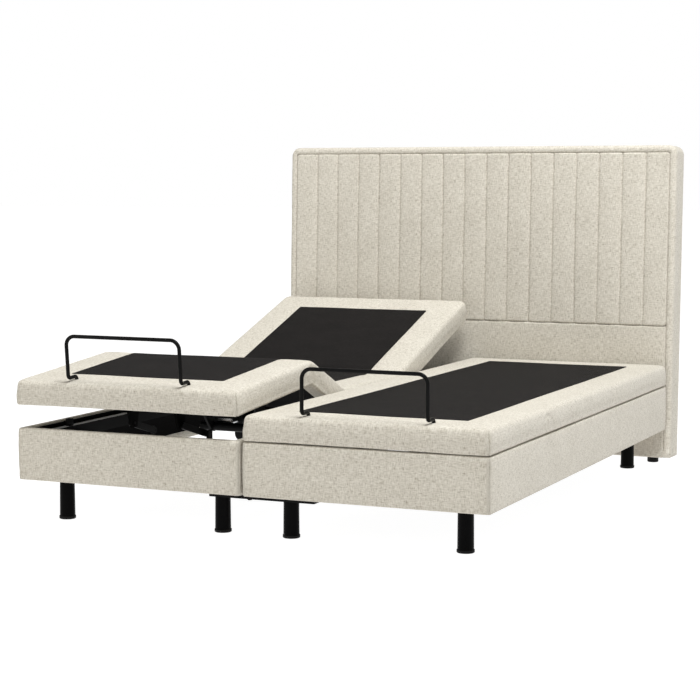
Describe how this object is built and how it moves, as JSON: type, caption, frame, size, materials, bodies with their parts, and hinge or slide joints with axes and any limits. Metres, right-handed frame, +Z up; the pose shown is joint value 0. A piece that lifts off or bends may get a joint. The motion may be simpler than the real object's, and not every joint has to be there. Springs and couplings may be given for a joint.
{
  "type": "split adjustable bed base",
  "caption": "Split double motor bed base with padded hinged decks, mattress retainer bars, round legs and a channelled upholstered headboard.",
  "frame": {"origin": "centre of the bounding box's underside, on the floor", "axes": "+Y from the foot end to the headboard, +Z up, +X to the flat right half"},
  "size_m": [1.63, 2.1958, 1.2244],
  "materials": {
    "fabric_cover": "woven melange fabric over foam",
    "upholstered_board": "board covered in woven melange fabric",
    "upholstered_core": "padded frame covered in woven melange fabric",
    "grip_fabric": "ribbed non-slip fabric",
    "black_board": "board with black lining",
    "black_steel": "satin black powder coat",
    "leg_black": "satin black paint",
    "zinc_steel": "bright zinc",
    "raw_wood": "raw softwood",
    "black_plastic": "matte",
    "bright_steel": "bright",
    "buffer_rubber": "matte"
  },
  "bodies": {
    "base": {"left_front_panel": "upholstered_board", "left_rear_panel": "upholstered_board", "left_outer_panel": "upholstered_board", "left_inner_panel": "upholstered_board", "left_seat_board": "black_board", "left_seat_pad": "fabric_cover", "left_seat_inlay": "grip_fabric", "left_drives": "black_plastic", "right_front_panel": "upholstered_board", "right_rear_panel": "upholstered_board", "right_outer_panel": "upholstered_board", "right_inner_panel": "upholstered_board", "right_seat_board": "black_board", "right_seat_pad": "fabric_cover", "right_seat_inlay": "grip_fabric", "right_drives": "black_plastic", "chassis_rails": "zinc_steel", "cross_tubes": "black_steel", "corner_blocks": "raw_wood", "control_boxes": "black_plastic", "buffers": "buffer_rubber", "legs": "leg_black", "leg_glides": "black_plastic", "connector_plates": "black_steel", "hinge_ears": "zinc_steel", "head_body": "upholstered_core", "head_channels": "fabric_cover", "head_lower": "fabric_cover", "head_feet": "black_plastic", "head_spacers": "black_plastic"},
    "left_back": {"left_back_board": "black_board", "left_back_pad": "fabric_cover", "left_back_inlay": "grip_fabric", "left_back_lever": "black_steel"},
    "left_thigh": {"left_thigh_board": "black_board", "left_thigh_pad": "fabric_cover", "left_thigh_inlay": "grip_fabric", "left_thigh_lever": "black_steel"},
    "left_foot": {"left_foot_board": "black_board", "left_foot_pad": "fabric_cover", "left_foot_inlay": "grip_fabric", "left_retainer": "black_steel"},
    "left_back_push": {"left_back_rod": "bright_steel"},
    "left_thigh_push": {"left_thigh_rod": "bright_steel"},
    "left_foot_link": {"left_foot_links": "black_steel"},
    "right_back": {"right_back_board": "black_board", "right_back_pad": "fabric_cover", "right_back_inlay": "grip_fabric", "right_back_lever": "black_steel"},
    "right_thigh": {"right_thigh_board": "black_board", "right_thigh_pad": "fabric_cover", "right_thigh_inlay": "grip_fabric", "right_thigh_lever": "black_steel"},
    "right_foot": {"right_foot_board": "black_board", "right_foot_pad": "fabric_cover", "right_foot_inlay": "grip_fabric", "right_retainer": "black_steel"},
    "right_back_push": {"right_back_rod": "bright_steel"},
    "right_thigh_push": {"right_thigh_rod": "bright_steel"},
    "right_foot_link": {"right_foot_links": "black_steel"}
  },
  "joints": [
    {"name": "left_back_hinge", "type": "hinge", "parent": "base", "child": "left_back", "pos_m": [-0.402, 0.18049, 0.378], "axis": [1, 0, 0], "range_deg": [-18, 42]},
    {"name": "left_thigh_hinge", "type": "hinge", "parent": "base", "child": "left_thigh", "pos_m": [-0.402, -0.28251, 0.378], "axis": [-1, 0, 0], "range_deg": [-24.5, 10.5]},
    {"name": "left_knee_hinge", "type": "hinge", "parent": "left_thigh", "child": "left_foot", "pos_m": [-0.402, -0.55599, 0.41692], "axis": [1, 0, 0], "range_deg": [-29.45, 12.65]},
    {"name": "left_back_rod_slide", "type": "slide", "parent": "base", "child": "left_back_push", "axis": [0, 1, 0], "range_m": [-0.0452, 0.1052]},
    {"name": "left_thigh_rod_slide", "type": "slide", "parent": "base", "child": "left_thigh_push", "axis": [0, -1, 0], "range_m": [-0.06335, 0.02726]},
    {"name": "left_foot_link_hinge", "type": "hinge", "parent": "base", "child": "left_foot_link", "pos_m": [-0.402, -0.72531, 0.2675], "axis": [-1, 0, 0], "range_deg": [-33.12, 14.22]},
    {"name": "right_back_hinge", "type": "hinge", "parent": "base", "child": "right_back", "pos_m": [0.402, 0.18049, 0.378], "axis": [1, 0, 0], "range_deg": [0, 60]},
    {"name": "right_thigh_hinge", "type": "hinge", "parent": "base", "child": "right_thigh", "pos_m": [0.402, -0.28251, 0.378], "axis": [-1, 0, 0], "range_deg": [0, 35]},
    {"name": "right_knee_hinge", "type": "hinge", "parent": "right_thigh", "child": "right_foot", "pos_m": [0.402, -0.54751, 0.3], "axis": [1, 0, 0], "range_deg": [-0.05, 42.05]},
    {"name": "right_back_rod_slide", "type": "slide", "parent": "base", "child": "right_back_push", "axis": [0, 1, 0], "range_m": [-0.0002, 0.1502]},
    {"name": "right_thigh_rod_slide", "type": "slide", "parent": "base", "child": "right_thigh_push", "axis": [0, -1, 0], "range_m": [-0.0002, 0.09041]},
    {"name": "right_foot_link_hinge", "type": "hinge", "parent": "base", "child": "right_foot_link", "pos_m": [0.402, -0.72531, 0.2675], "axis": [-1, 0, 0], "range_deg": [-0.05, 46.95]}
  ],
  "couplings": [
    {"joint": "left_knee_hinge", "follows": "left_thigh_hinge", "ratio": 1.2},
    {"joint": "left_back_rod_slide", "follows": "left_back_hinge", "m_per_rad": 0.14324},
    {"joint": "left_thigh_rod_slide", "follows": "left_thigh_hinge", "m_per_rad": 0.14768},
    {"joint": "left_foot_link_hinge", "follows": "left_thigh_hinge", "ratio": 1.35},
    {"joint": "right_knee_hinge", "follows": "right_thigh_hinge", "ratio": 1.2},
    {"joint": "right_back_rod_slide", "follows": "right_back_hinge", "m_per_rad": 0.14324},
    {"joint": "right_thigh_rod_slide", "follows": "right_thigh_hinge", "m_per_rad": 0.14768},
    {"joint": "right_foot_link_hinge", "follows": "right_thigh_hinge", "ratio": 1.34}
  ]
}
